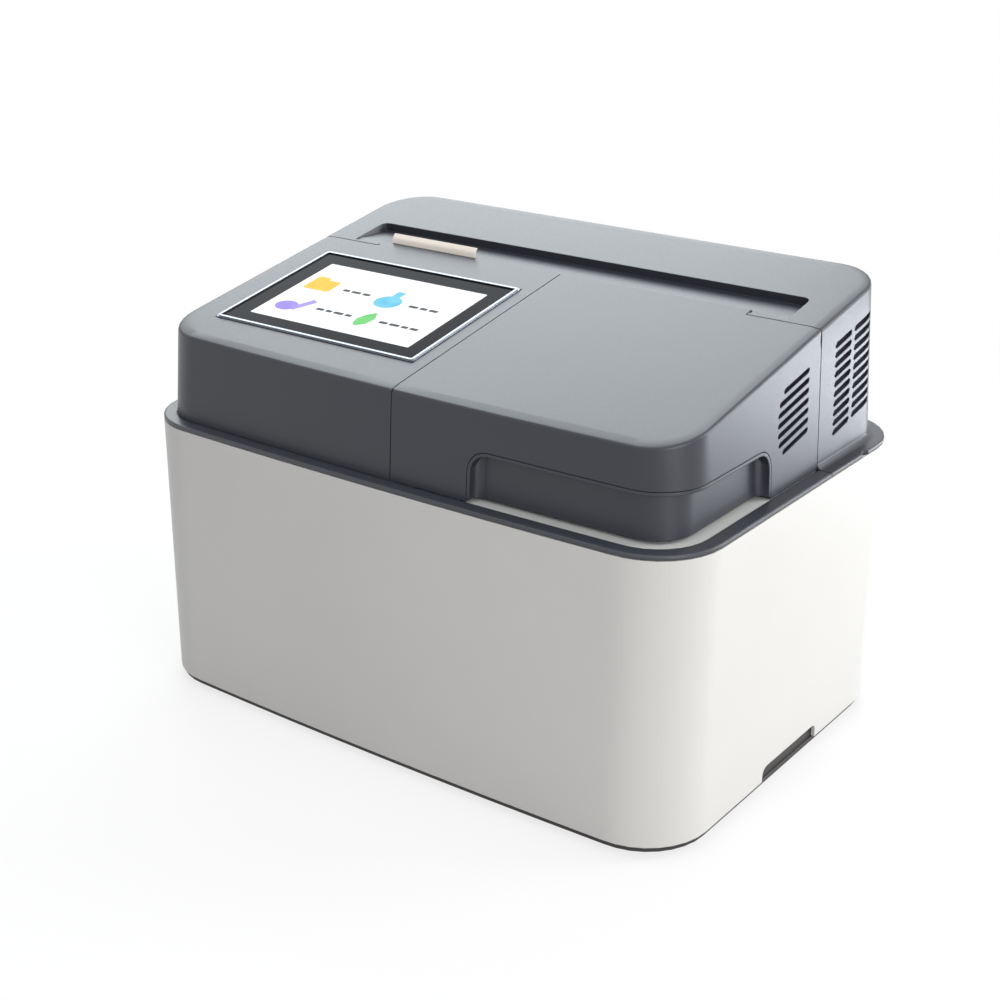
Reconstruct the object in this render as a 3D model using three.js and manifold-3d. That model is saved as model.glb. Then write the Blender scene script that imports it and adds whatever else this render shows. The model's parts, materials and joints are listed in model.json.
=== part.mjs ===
// Benchtop chemistry analyzer: a light metal sleeve on a base tray, topped by a slanted grey housing
// with a touch screen on the left, a hinged sample lid on the right and a rear cover with a paper trough.
// Millimetres, +Z up, front towards -Y, origin under the middle of the body on the table.
import * as THREE from 'three';
import { mergeVertices } from 'three/addons/utils/BufferGeometryUtils.js';
import Module from 'manifold-3d';

const wasm = await Module();
wasm.setup();

// Driving dimensions of the body
const body_width = 330;
const body_depth = 228.6;
const body_corner_radius = 35;
const front_bow = 3.5;
const foot_height = 3;
const tray_lip_height = 3;
const sleeve_height = 143;
const sleeve_wall = 2;
const shadow_gap = 0.5;
const collar_thickness = 2;
const collar_width = 7.5;
const deck_surface_drop = 0.5;

// Driving dimensions of the slanted housing
const housing_side_inset = 8;
const housing_front_inset = 7.8;
const housing_rear_inset = 11;
const housing_corner_radius = 25;
const housing_wall = 2.5;
const housing_front_height = 43.6;
const top_slope = 0.19;
const side_draft = 0.0435;
const front_draft = 0.059;
const chamfer_width = 5.5;
const chamfer_drop = 0.6;
const flange_fillet = 3;

// Seams between the screen housing, the lid and the rear cover
const seam_gap = 0.5;
const seat_gap = 0.3;
const lid_foot_gap = 0.5;
const centre_seam_offset = 2.4;
const rear_seam_from_rear = 80.6;
const side_seam_step = 5.8;
const jog_from_left = 49;
const jog_from_right = 51;

// Small allowances
const overrun = 4;
const weld = 0.0001;
const arc_steps = 8;
const front_steps = 8;

// Levels and edges that follow from the sizes above
const right_x = body_width / 2;
const left_x = -right_x;
const rear_y = body_depth / 2;
const front_y = -rear_y;
const sleeve_bottom_z = foot_height + tray_lip_height;
const sleeve_top_z = sleeve_bottom_z + sleeve_height;
const deck_top_z = sleeve_top_z + shadow_gap + collar_thickness;
const deck_surface_z = deck_top_z - deck_surface_drop;
const lid_foot_z = deck_surface_z + lid_foot_gap;
const housing_front_y = front_y + housing_front_inset;
const centre_seam_x = centre_seam_offset;
const rear_seam_y = rear_y - rear_seam_from_rear;
const side_seam_y = rear_seam_y - side_seam_step;
const rear_seam_from_front = rear_seam_y - front_y;
const lid_width = right_x - housing_side_inset - centre_seam_x;
const lid_depth = rear_seam_y - housing_front_y;
const jog_left_x = left_x + jog_from_left;
const jog_right_x = right_x - jog_from_right;
const slope_angle = Math.atan(top_slope);
const half_gap = seam_gap / 2;

const edgeZ = (y) => deck_top_z + housing_front_height + top_slope * (y - housing_front_y);
const topZ = (y) => edgeZ(y) + chamfer_drop;

// Materials
const finish = (color, roughness, metalness = 0) =>
  new THREE.MeshStandardMaterial({ color, roughness, metalness });
const looks = {
  sleeve: finish(0xdfdedb, 0.45, 0.2),
  housing: finish(0x8b949c, 0.55),
  dark: finish(0x3c3f45, 0.6),
  deck: finish(0xd6d8d4, 0.5),
  black: finish(0x17181a, 0.5),
  glass: finish(0x101216, 0.1),
  screen: finish(0xf4f6f8, 0.3),
  chrome: finish(0xd0d2d5, 0.2, 1),
  steel: finish(0xa8acb0, 0.35, 0.9),
  aluminium: finish(0xc2c5c8, 0.45, 0.8),
  rubber: finish(0x202122, 0.9),
  paper: finish(0xf2efe8, 0.9),
  board: finish(0x1f5a3a, 0.6),
  brass: finish(0xb89a4a, 0.35, 0.9),
  ivory: finish(0xe6e4dc, 0.5),
  amber: finish(0xd9a23b, 0.4),
};

// Turning geometry into solids and back
function solid(geometry) {
  const bare = geometry.clone();
  bare.deleteAttribute('normal');
  bare.deleteAttribute('uv');
  const merged = mergeVertices(bare, weld);
  const made = new wasm.Manifold(new wasm.Mesh({
    numProp: 3,
    vertProperties: merged.attributes.position.array,
    triVerts: new Uint32Array(merged.index.array),
  }));
  if (made.volume() <= 0) throw new Error('a solid is inside out');
  return made;
}

const join = (first, ...others) => others.reduce((sum, next) => sum.add(next), first);
const cut = (first, ...others) => others.reduce((rest, next) => rest.subtract(next), first);

const part = new THREE.Group();

function place(name, body, material) {
  const mesh = body.getMesh();
  const geometry = new THREE.BufferGeometry();
  geometry.setAttribute('position', new THREE.BufferAttribute(new Float32Array(mesh.vertProperties), 3));
  geometry.setIndex(new THREE.BufferAttribute(new Uint32Array(mesh.triVerts), 1));
  geometry.computeVertexNormals();
  const node = new THREE.Mesh(geometry, material);
  node.name = name;
  part.add(node);
}

// Simple solids between two corners, along an axis, or turned about a vertical axis
function box(x0, x1, y0, y1, z0, z1) {
  const geometry = new THREE.BoxGeometry(x1 - x0, y1 - y0, z1 - z0);
  return solid(geometry.translate((x0 + x1) / 2, (y0 + y1) / 2, (z0 + z1) / 2));
}

function rodX(radius, x0, x1, y, z, steps = 24) {
  const geometry = new THREE.CylinderGeometry(radius, radius, x1 - x0, steps).rotateZ(-Math.PI / 2);
  return solid(geometry.translate((x0 + x1) / 2, y, z));
}

function rodY(radius, y0, y1, x, z, steps = 24) {
  const geometry = new THREE.CylinderGeometry(radius, radius, y1 - y0, steps);
  return solid(geometry.translate(x, (y0 + y1) / 2, z));
}

function rodZ(radius, z0, z1, x, y, steps = 24) {
  const geometry = new THREE.CylinderGeometry(radius, radius, z1 - z0, steps).rotateX(Math.PI / 2);
  return solid(geometry.translate(x, y, (z0 + z1) / 2));
}

function turned(profile, x, y, steps = 32) {
  const points = profile.map(([radius, z]) => new THREE.Vector2(radius, z));
  return solid(new THREE.LatheGeometry(points, steps).rotateX(Math.PI / 2).translate(x, y, 0));
}

// Prisms: an outline in one plane, pushed along the axis square to it
const shapeOf = (points) => new THREE.Shape(points.map(([u, v]) => new THREE.Vector2(u, v)));

function prismZ(points, z0, z1) {
  const geometry = new THREE.ExtrudeGeometry(shapeOf(points), { depth: z1 - z0, bevelEnabled: false });
  return solid(geometry.translate(0, 0, z0));
}

function prismX(points, x0, x1) {
  const geometry = new THREE.ExtrudeGeometry(shapeOf(points), { depth: x1 - x0, bevelEnabled: false });
  const turn = new THREE.Matrix4().makeBasis(
    new THREE.Vector3(0, 1, 0), new THREE.Vector3(0, 0, 1), new THREE.Vector3(1, 0, 0));
  return solid(geometry.applyMatrix4(turn).translate(x0, 0, 0));
}

function prismY(points, y0, y1) {
  const geometry = new THREE.ExtrudeGeometry(shapeOf(points), { depth: y1 - y0, bevelEnabled: false });
  const turn = new THREE.Matrix4().makeBasis(
    new THREE.Vector3(1, 0, 0), new THREE.Vector3(0, 0, 1), new THREE.Vector3(0, -1, 0));
  return solid(geometry.applyMatrix4(turn).translate(0, y1, 0));
}

function arc(cx, cy, radius, from, to, steps) {
  const points = [];
  for (let i = 0; i <= steps; i += 1) {
    const angle = from + ((to - from) * i) / steps;
    points.push([cx + radius * Math.cos(angle), cy + radius * Math.sin(angle)]);
  }
  return points;
}

function roundedRect(u0, u1, v0, v1, radius, steps = 3) {
  const quarter = Math.PI / 2;
  return [
    ...arc(u1 - radius, v0 + radius, radius, -quarter, 0, steps),
    ...arc(u1 - radius, v1 - radius, radius, 0, quarter, steps),
    ...arc(u0 + radius, v1 - radius, radius, quarter, 2 * quarter, steps),
    ...arc(u0 + radius, v0 + radius, radius, 2 * quarter, 3 * quarter, steps),
  ];
}

// Plan outlines: a softly bowed front, straight sides and back, round corners
function planOutline(side, front, rear, radius) {
  const edge_x = right_x - side;
  const corner_x = edge_x - radius;
  const bowed = (x) => front_y + front + front_bow * (x / right_x) ** 2;
  const corner_y = bowed(corner_x) + radius;
  const back_y = rear_y - rear - radius;
  const quarter = Math.PI / 2;
  const points = [];
  for (let i = 0; i < front_steps; i += 1) {
    const x = -corner_x + (2 * corner_x * i) / front_steps;
    points.push([x, bowed(x)]);
  }
  points.push(...arc(corner_x, corner_y, radius, -quarter, 0, arc_steps));
  points.push(...arc(corner_x, back_y, radius, 0, quarter, arc_steps));
  points.push(...arc(-corner_x, back_y, radius, quarter, 2 * quarter, arc_steps));
  points.push(...arc(-corner_x, corner_y, radius, 2 * quarter, 3 * quarter, arc_steps));
  points.pop();
  return points;
}

// A closed skin through rings of equal counts, flat at both ends
function loft(rings) {
  const count = rings[0].length;
  const positions = rings.flat(2);
  const faces = [];
  for (let k = 0; k + 1 < rings.length; k += 1) {
    for (let i = 0; i < count; i += 1) {
      const a = k * count + i;
      const b = k * count + ((i + 1) % count);
      faces.push(a, b, b + count, a, b + count, a + count);
    }
  }
  const last = (rings.length - 1) * count;
  for (let i = 1; i + 1 < count; i += 1) {
    faces.push(0, i + 1, i);
    faces.push(last, last + i, last + i + 1);
  }
  const geometry = new THREE.BufferGeometry();
  geometry.setAttribute('position', new THREE.Float32BufferAttribute(positions, 3));
  geometry.setIndex(faces);
  return solid(geometry);
}

const bodyRing = (inset, z) =>
  planOutline(inset, inset, inset, body_corner_radius - inset).map(([x, y]) => [x, y, z]);

// One ring of the housing wall: the draft draws it in with height, wherever its slanted edge runs
function housingRing(inset, heightAt) {
  const ring = (lift) => planOutline(
    housing_side_inset + inset + side_draft * lift,
    housing_front_inset + inset + front_draft * lift,
    housing_rear_inset + inset + side_draft * lift,
    housing_corner_radius - inset,
  );
  return ring(0).map(([, y], i) => {
    const lift = heightAt(y) - deck_top_z;
    const [x_now, y_now] = ring(lift)[i];
    return [x_now, y_now, heightAt(y_now)];
  });
}

// Outer solid of the housing with its soft top chamfer, and the room inside it
const housing_foot_z = deck_surface_z + seat_gap;
const housingOuter = () => loft([
  housingRing(0, () => housing_foot_z),
  housingRing(0, edgeZ),
  housingRing(chamfer_width, topZ),
]);
const housingInner = () => loft([
  housingRing(housing_wall, () => deck_top_z - overrun),
  housingRing(housing_wall, (y) => edgeZ(y) - housing_wall),
  housingRing(housing_wall + chamfer_width, (y) => topZ(y) - housing_wall),
]);
const wallBand = (inset, z0, z1) => loft([housingRing(inset, () => z0), housingRing(inset, () => z1)]);

const far = body_width;
const sky_z = deck_top_z + body_depth;
const screen_region = prismZ([
  [-far, -far], [centre_seam_x - half_gap, -far], [centre_seam_x - half_gap, rear_seam_y - half_gap],
  [jog_left_x + half_gap, rear_seam_y - half_gap], [jog_left_x + half_gap, side_seam_y - half_gap],
  [-far, side_seam_y - half_gap],
], 0, sky_z);
const lid_region = prismZ([
  [centre_seam_x + half_gap, -far], [far, -far], [far, side_seam_y - half_gap],
  [jog_right_x - half_gap, side_seam_y - half_gap], [jog_right_x - half_gap, rear_seam_y - half_gap],
  [centre_seam_x + half_gap, rear_seam_y - half_gap],
], lid_foot_z, sky_z);
const rear_region = prismZ([
  [-far, side_seam_y + half_gap], [jog_left_x - half_gap, side_seam_y + half_gap],
  [jog_left_x - half_gap, rear_seam_y + half_gap], [jog_right_x + half_gap, rear_seam_y + half_gap],
  [jog_right_x + half_gap, side_seam_y + half_gap], [far, side_seam_y + half_gap], [far, far], [-far, far],
], 0, sky_z);

// Places on the slanted top: u across, v up the slope from the body's front line, w square out of it
function onTop(body) {
  const lay = new THREE.Matrix4().makeTranslation(0, front_y, topZ(front_y));
  lay.multiply(new THREE.Matrix4().makeRotationX(slope_angle));
  return body.transform(lay.elements.slice());
}
const topBox = (u0, u1, v0, v1, w0, w1) => onTop(box(u0, u1, v0, v1, w0, w1));
const slopeAt = (distance) => distance / Math.cos(slope_angle);

// Vent slots that run parallel to the slanted top through a side wall
function sideSlot(x0, x1, y0, y1, z_at_front, height, steps) {
  const lean = (points) => points.map(([y, z]) => [y, z + top_slope * (y - y0)]);
  return prismX(lean(roundedRect(y0, y1, z_at_front, z_at_front + height, height / 2 - weld, steps)), x0, x1);
}

// Feet and base tray
const foot_radius = 9;
const foot_inset = 30;
const tray_edge_inset = 1.6;
const tray_floor = 2.4;
const tray_rim_height = 9;
const tray_rim_wall = 2;
const post_size = 12;
const post_inset = 22;
const post_bore = 1.6;
const foot_recess = 1;
const foot_places = [
  [-1, -1, 'front_left'], [1, -1, 'front_right'], [-1, 1, 'rear_left'], [1, 1, 'rear_right'],
];
const tray_floor_top_z = foot_height + tray_floor;
const deck_plate_thickness = 6;
const deck_plate_bottom_z = deck_top_z - deck_plate_thickness;

function makeFeet() {
  const foot_dome = 0.8;
  for (const [sx, sy, corner] of foot_places) {
    const x = sx * (right_x - foot_inset);
    const y = sy * (rear_y - foot_inset);
    place(`foot_${corner}`, turned([
      [0, 0], [foot_radius - foot_dome, 0], [foot_radius, foot_dome],
      [foot_radius, foot_height + foot_recess - seat_gap], [0, foot_height + foot_recess - seat_gap],
    ], x, y, 24), looks.rubber);
  }
}

function makeBaseTray() {
  const rim_inset = sleeve_wall + seat_gap;
  const lip_top_z = sleeve_bottom_z - seat_gap;
  const rim_top_z = sleeve_bottom_z + tray_rim_height;
  let tray = join(
    loft([bodyRing(tray_edge_inset, foot_height), bodyRing(tray_edge_inset, lip_top_z)]),
    loft([bodyRing(rim_inset, lip_top_z - weld), bodyRing(rim_inset, rim_top_z)]),
  );
  tray = cut(tray, loft([
    bodyRing(rim_inset + tray_rim_wall, tray_floor_top_z),
    bodyRing(rim_inset + tray_rim_wall, rim_top_z + overrun),
  ]));
  for (const [sx, sy] of foot_places) {
    const x = sx * (right_x - post_inset - post_size);
    const y = sy * (rear_y - post_inset - post_size);
    const post = box(x - post_size / 2, x + post_size / 2, y - post_size / 2, y + post_size / 2,
      tray_floor_top_z - weld, deck_plate_bottom_z - seat_gap);
    const bore = rodZ(post_bore, deck_plate_bottom_z - post_size, deck_plate_bottom_z, x, y, 10);
    tray = cut(join(tray, post), bore);
    const fx = sx * (right_x - foot_inset);
    const fy = sy * (rear_y - foot_inset);
    const seat_radius = foot_radius + seat_gap;
    tray = cut(tray, rodZ(seat_radius, foot_height - overrun, foot_height + foot_recess, fx, fy, 24));
  }
  const slot_count = 9;
  const slot_pitch = 8;
  const slot_width = 3;
  const slot_length = 46;
  const slots_x = -40;
  for (let i = 0; i < slot_count; i += 1) {
    const x = slots_x + (i - (slot_count - 1) / 2) * slot_pitch;
    tray = cut(tray, box(x - slot_width / 2, x + slot_width / 2,
      -slot_length / 2, slot_length / 2, 0, sleeve_bottom_z));
  }
  for (const [sx, sy] of foot_places) {
    const x = board_x0 + board_width / 2 + sx * (board_width / 2 - board_margin);
    const y = board_y0 + board_depth / 2 + sy * (board_depth / 2 - board_margin);
    tray = join(tray, rodZ(board_stand_radius, tray_floor_top_z - weld, board_z, x, y, 12));
  }
  place('base_tray', tray, looks.dark);
}

// Metal sleeve with its lifting notches at the foot and the window for the rear panel
const notch_from_front = 91;
const notch_length = 56;
const notch_height = 7.5;
const notch_radius = 4;
const panel_window_width = 176;
const panel_window_height = 62;
const panel_window_bottom = 26;
const panel_window_z = sleeve_bottom_z + panel_window_bottom;

function makeSleeve() {
  const window_radius = 4;
  let sleeve = cut(
    loft([bodyRing(0, sleeve_bottom_z), bodyRing(0, sleeve_top_z)]),
    loft([bodyRing(sleeve_wall, sleeve_bottom_z - overrun), bodyRing(sleeve_wall, sleeve_top_z + overrun)]),
  );
  const y0 = front_y + notch_from_front;
  const notch = roundedRect(y0, y0 + notch_length,
    sleeve_bottom_z - notch_height, sleeve_bottom_z + notch_height, notch_radius);
  sleeve = cut(sleeve, prismX(notch, -far, far));
  const window = roundedRect(-panel_window_width / 2, panel_window_width / 2, panel_window_z,
    panel_window_z + panel_window_height, window_radius);
  sleeve = cut(sleeve, prismY(window, 0, far));
  place('sleeve', sleeve, looks.sleeve);
}

// Edge of the collar: square below, softly rounded above
const collar_edge_radius = 0.7;
function collarSolid() {
  const z0 = deck_top_z - collar_thickness;
  const quarter = Math.PI / 2;
  const rings = [bodyRing(0, z0)];
  const steps = 3;
  for (let i = 0; i <= steps; i += 1) {
    const angle = (quarter * i) / steps;
    const inset = collar_edge_radius * (1 - Math.cos(angle));
    rings.push(bodyRing(inset, deck_top_z - collar_edge_radius * (1 - Math.sin(angle))));
  }
  return loft(rings);
}

// Incubation well under the lid, with the turntable, its motor and the reading optics
const well_share = 0.33;
const well_radius = well_share * Math.min(lid_width, lid_depth);
const well_x = centre_seam_x + lid_width / 2;
const well_y = housing_front_y + lid_depth / 2;
const well_depth = 14;
const well_wall = 2;
const well_flange = 3.5;
const well_flange_thickness = 1.2;
const spindle_radius = 6;
const spindle_clearance = 2;

// Latch slot in the deck
const latch_from_seam = 17.6;
const latch_x = centre_seam_x + latch_from_seam;
const latch_from_front = 24;
const latch_y = front_y + latch_from_front;
const latch_slot_width = 9;
const latch_slot_length = 15;
const latch_slot_ahead = 10;

function makeDeck() {
  const front_part = box(-far, far, -far, side_seam_y - half_gap, 0, sky_z);
  const hole = loft([
    bodyRing(collar_width, deck_plate_bottom_z), bodyRing(collar_width, deck_top_z + overrun),
  ]);
  const corner_relief = wallBand(-seat_gap, deck_surface_z, deck_top_z + overrun)
    .intersect(box(-far, centre_seam_x, -far, far, 0, sky_z));
  place('deck_collar', cut(collarSolid(), hole, corner_relief).intersect(front_part), looks.housing);
  const spigot_inset = sleeve_wall + seat_gap;
  const step_inset = collar_width + seat_gap;
  const rear_inset = housing_wall + seat_gap + flange_fillet / 2;
  const step_top_z = sleeve_top_z + shadow_gap - seat_gap;
  const step = loft([bodyRing(step_inset, deck_plate_bottom_z), bodyRing(step_inset, deck_surface_z)]);
  let deck = join(
    loft([bodyRing(spigot_inset, deck_plate_bottom_z), bodyRing(spigot_inset, step_top_z)]),
    wallBand(rear_inset, deck_plate_bottom_z, deck_surface_z),
    step.intersect(front_part),
  );
  const bore = well_radius + seat_gap;
  deck = cut(deck,
    rodZ(bore, 0, sky_z, well_x, well_y, 48),
    rodZ(bore + well_flange, deck_surface_z - well_flange_thickness - seat_gap, sky_z, well_x, well_y, 48),
    box(latch_x - latch_slot_width / 2, latch_x + latch_slot_width / 2,
      latch_y - latch_slot_ahead, latch_y - latch_slot_ahead + latch_slot_length, 0, sky_z));
  const cable_slot_width = 40;
  const cable_slot_depth = 14;
  const cable_slot_from_rear = 44;
  const cable_slot_xs = [left_x * 2 / 3, right_x / 4];
  for (const x of cable_slot_xs) {
    const y = rear_y - cable_slot_from_rear;
    const shape = roundedRect(x - cable_slot_width / 2, x + cable_slot_width / 2, y, y + cable_slot_depth,
      cable_slot_depth / 3);
    deck = cut(deck, prismZ(shape, 0, sky_z));
  }
  place('upper_deck', deck, looks.deck);
}

// Display: trim frame, glass, panel and its board, all square to the slanted top
const screen_off_middle_share = 0.062;
const screen_depth_share = 0.55;
const trim_width_share = 0.78;
const trim_height_share = 0.608;
const screen_field = centre_seam_x - left_x;
const screen_from_front = screen_depth_share * rear_seam_from_front;
const trim_width = trim_width_share * screen_field;
const trim_height = trim_height_share * rear_seam_from_front;
const trim_bar = 2;
const trim_rise = 1;
const trim_depth = 1.6;
const glass_thickness = 1.6;
const window_margin = 6;
const screen_x = left_x + (1 / 2 + screen_off_middle_share) * screen_field;

function topFrameRect(half_u, half_v, grow) {
  return [screen_x - half_u - grow, screen_x + half_u + grow,
    screen_from_front - half_v - grow, screen_from_front + half_v + grow];
}

function makeScreenHousing() {
  const inner = housingInner().intersect(
    box(-far, centre_seam_x - half_gap - housing_wall, -far, far, 0, sky_z));
  let shell = cut(housingOuter(), inner).intersect(screen_region);
  const rebate = topFrameRect(trim_width / 2, trim_height / 2, seat_gap);
  const window = topFrameRect(trim_width / 2, trim_height / 2, -window_margin);
  shell = cut(shell,
    topBox(...rebate, -trim_depth, overrun),
    topBox(...window, -overrun - housing_wall, overrun));
  place('screen_housing', shell, looks.housing);
}

function makeDisplay() {
  const trim_corner = 1.5;
  const frame = (grow, w0, w1, radius) => {
    const [u0, u1, v0, v1] = topFrameRect(trim_width / 2, trim_height / 2, grow);
    return onTop(prismZ(roundedRect(u0, u1, v0, v1, radius, 2), w0, w1));
  };
  const trim_bottom = -trim_depth + seat_gap;
  const trim_bevel = 0.6;
  let trim = join(
    frame(0, trim_bottom, trim_rise - trim_bevel, trim_corner),
    frame(-trim_bevel, trim_bottom, trim_rise, trim_corner),
  );
  trim = cut(trim, frame(-trim_bar, -overrun, overrun, trim_corner / 2));
  place('display_trim', trim, looks.chrome);
  const glass_top = trim_bottom + glass_thickness;
  place('display_glass', frame(-trim_bar - seat_gap, trim_bottom, glass_top, trim_corner / 2), looks.glass);
  const panel_side_margin = 7.25;
  const panel_end_margin = 8;
  const panel_width = trim_width - 2 * panel_side_margin;
  const panel_height = trim_height - 2 * panel_end_margin;
  const panel_thickness = 4;
  const panel_rect = topFrameRect(panel_width / 2, panel_height / 2, 0);
  const panel_top = trim_bottom - seat_gap;
  const panel_bottom = panel_top - panel_thickness;
  place('display_panel', topBox(...panel_rect, panel_bottom, panel_top), looks.steel);
  const board_inset = 4;
  const board_thickness = 1.6;
  const board_top = panel_bottom - seat_gap;
  const board_bottom = board_top - board_thickness;
  const chip = 12;
  const chip_height = 2;
  const board_rect = topFrameRect(panel_width / 2, panel_height / 2, board_inset);
  const chips = [-1, 0, 1].map((k) => {
    const u = screen_x + k * 2 * chip;
    return topBox(u - chip / 2, u + chip / 2, screen_from_front - chip / 2, screen_from_front + chip / 2,
      board_bottom - chip_height, board_top - weld);
  });
  place('display_board', join(topBox(...board_rect, board_bottom, board_top), ...chips), looks.board);
}

// Hinge line of the lid, under the trough
const hinge_behind_seam = 7.7;
const hinge_below_top = 7.7;
const hinge_y = rear_seam_y + hinge_behind_seam;
const hinge_z = topZ(hinge_y) - hinge_below_top;
const hinge_sweep_gap = 0.35;
const hinge_pin_radius = 1.5;
const hinge_barrel_radius = 3.3;
const hinge_bore_gap = 0.3;
const hinge_from_seam = 19.6;
const hinge_from_jog = 16;
const hinge_xs = [centre_seam_x + hinge_from_seam, jog_right_x - hinge_from_jog];
const hinge_arm_width = 9;
const hinge_lug = 3;
const arm_inner_radius = 12.8;
const arm_thickness = 3.4;
const arm_pad_length = 20;
const arm_pad_thickness = 2.4;

// Distance from the hinge line to the top front edge of the rear cover
const trough_front_depth = 0.6;
const coverReach = (y, depth) => Math.hypot(hinge_y - y, topZ(y) - depth - hinge_z);

// Finger recess at the front right corner of the lid
const recess_start_share = 0.2885;
const recess_before_seam = 46.7;
const recess_top = 25.6;
const recess_radius = 11;
const recess_depth = 6;
const scoop_foot_rise = 1.2;
const recess_end_radius = 4;
const recess_lip = 1.6;
const recess_rim = 5;
const scoop_wall = 2.2;
const scoop_gap = 0.35;
const recess_x = centre_seam_x + recess_start_share * lid_width;
const recess_y = side_seam_y - recess_before_seam;
const recess_top_z = deck_top_z + recess_top;
const corner_reach = housing_side_inset + housing_corner_radius + recess_depth + scoop_wall;

function recessPrism(grow) {
  const radius = recess_radius + grow;
  const low_z = deck_top_z - overrun;
  const quarter = Math.PI / 2;
  const side = Math.PI;
  const front_shape = [
    [far, low_z], [far, recess_top_z + grow],
    ...arc(recess_x - grow + radius, recess_top_z + grow - radius, radius, quarter, side, 5),
    [recess_x - grow, low_z],
  ];
  const side_shape = [
    [-far, low_z], [recess_y + grow, low_z],
    ...arc(recess_y + grow - radius, recess_top_z + grow - radius, radius, 0, quarter, 5),
    [-far, recess_top_z + grow],
  ];
  return join(
    prismY(front_shape, -far, front_y + corner_reach),
    prismX(side_shape, right_x - corner_reach, far),
  );
}

function recessBand(inner_inset, outer_inset) {
  const z0 = deck_top_z - overrun / 2;
  const z1 = recess_top_z + recess_rim + overrun;
  return cut(wallBand(outer_inset, z0, z1), wallBand(inner_inset, z0 - overrun, z1 + overrun));
}

// Vents of the lid's side wall: seven slots whose front ends follow an arc
const vent_count = 7;
const vent_pitch = 4.85;
const vent_height = 2.5;
const vent_before_seam = 11.4;
const vent_length = 30;
const vent_low = 19.8;
const vent_bulge = 5;

function lidVents(body) {
  let left = body;
  const y1 = side_seam_y - vent_before_seam;
  for (let i = 0; i < vent_count; i += 1) {
    const off_centre = (2 * i) / (vent_count - 1) - 1;
    const y0 = y1 - vent_length + vent_bulge * off_centre ** 4;
    const z0 = deck_top_z + vent_low + i * vent_pitch + top_slope * (y0 - y1 + vent_length / 2);
    left = cut(left, sideSlot(right_x - corner_reach, far, y0, y1, z0, vent_height, 2));
  }
  return left;
}

function makeLid() {
  const inner = housingInner().intersect(
    box(centre_seam_x + half_gap + housing_wall, far, -far, far, 0, sky_z));
  let lid = cut(housingOuter(), inner).intersect(lid_region);
  const middle_reach = coverReach(rear_seam_y + half_gap, trough_front_depth) + hinge_sweep_gap;
  const side_reach = coverReach(side_seam_y + half_gap, 0) + hinge_sweep_gap;
  lid = cut(lid,
    rodX(middle_reach, centre_seam_x - overrun, jog_right_x, hinge_y, hinge_z, 72),
    rodX(side_reach, jog_right_x - half_gap - weld, far, hinge_y, hinge_z, 72),
    recessPrism(0).intersect(recessBand(housing_wall + overrun / 4, -overrun)));
  place('lid', lidVents(lid), looks.housing);
}

// Fillet that rounds an upright inner corner of the recess and leans with its wall
function cornerFillet(x, y, lean_x, lean_y) {
  const r = recess_end_radius;
  const bite = scoop_wall;
  const quarter = Math.PI / 2;
  const lean = new THREE.Matrix4().set(
    1, 0, lean_x, -lean_x * deck_top_z,
    0, 1, lean_y, -lean_y * deck_top_z,
    0, 0, 1, 0,
    0, 0, 0, 1,
  );
  return prismZ([
    ...arc(x + r, y - r, r, quarter, 2 * quarter, 5),
    [x - bite, y - r], [x - bite, y + bite], [x + r, y + bite],
  ], lid_foot_z, recess_top_z - recess_lip).transform(lean.elements.slice());
}

function makeGripScoop() {
  const back = recess_depth + scoop_wall;
  const lip_grow = -scoop_gap - recess_lip;
  const envelope = join(
    recessBand(back, 0).intersect(recessPrism(-scoop_gap)),
    recessBand(back, housing_wall + seat_gap).intersect(recessPrism(recess_rim)),
  );
  const hollow = recessBand(recess_depth, -overrun).intersect(recessPrism(lip_grow));
  const end_x = recess_x - lip_grow;
  const end_y = recess_y + lip_grow;
  const wall_x = right_x - housing_side_inset - recess_depth;
  const wall_y = housing_front_y + front_bow * (end_x / right_x) ** 2 + recess_depth;
  const fillets = join(
    cornerFillet(end_x, wall_y, 0, front_draft), cornerFillet(wall_x, end_y, -side_draft, 0));
  const foot = box(-far, far, -far, far, 0, lid_foot_z + scoop_foot_rise);
  place('grip_scoop', cut(join(cut(envelope, hollow), fillets.intersect(envelope)), foot), looks.housing);
}

// Inner pan of the lid that keeps light off the well
function makeLightShield() {
  const shield_radius = well_radius + well_flange * 2;
  const shield_rise = 20;
  const shield_wall = 2;
  const foot_z = lid_foot_z;
  const roof_z = foot_z + shield_rise;
  let shield = turned([
    [0, roof_z - shield_wall], [shield_radius - shield_wall, roof_z - shield_wall],
    [shield_radius - shield_wall, foot_z], [shield_radius, foot_z], [shield_radius, roof_z], [0, roof_z],
  ], well_x, well_y, 48);
  const boss_radius = 4;
  const boss_spread = shield_radius / 2;
  const roof_cut = onTop(box(-far, far, -far, far, -housing_wall / Math.cos(slope_angle) - seat_gap, far));
  for (const [sx, sy] of foot_places) {
    const x = well_x + sx * boss_spread;
    const y = well_y + sy * boss_spread;
    const boss = rodZ(boss_radius, roof_z - weld, sky_z, x, y, 16);
    shield = join(shield, cut(boss, roof_cut));
  }
  place('lid_light_shield', shield, looks.black);
}

// Rear cover: slanted shell, flange over the sleeve, paper trough and side vents
const trough_from_left = 31;
const trough_from_right = 30.5;
const trough_rear_from_rear = 59;
const trough_rear_depth = 4.6;
const trough_wall = 2;
const trough_end_slant = 1.6;
const trough_corner_radius = 4;
const paper_slot_from_left = 54;
const paper_slot_width = 58.2;
const paper_slot_depth = 1.7;
const pry_radius = 4;
const pry_bite = 1.8;
const pry_from_rear = 49.5;
const rear_vent_rows = 10;
const rear_vent_pitch = 4.85;
const rear_vent_height = 2.9;
const rear_vent_low = 12.3;
const rear_vent_from_rear = 71.4;
const rear_vent_lengths = [18, 20.6];
const rear_vent_rib = 2.2;

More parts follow.
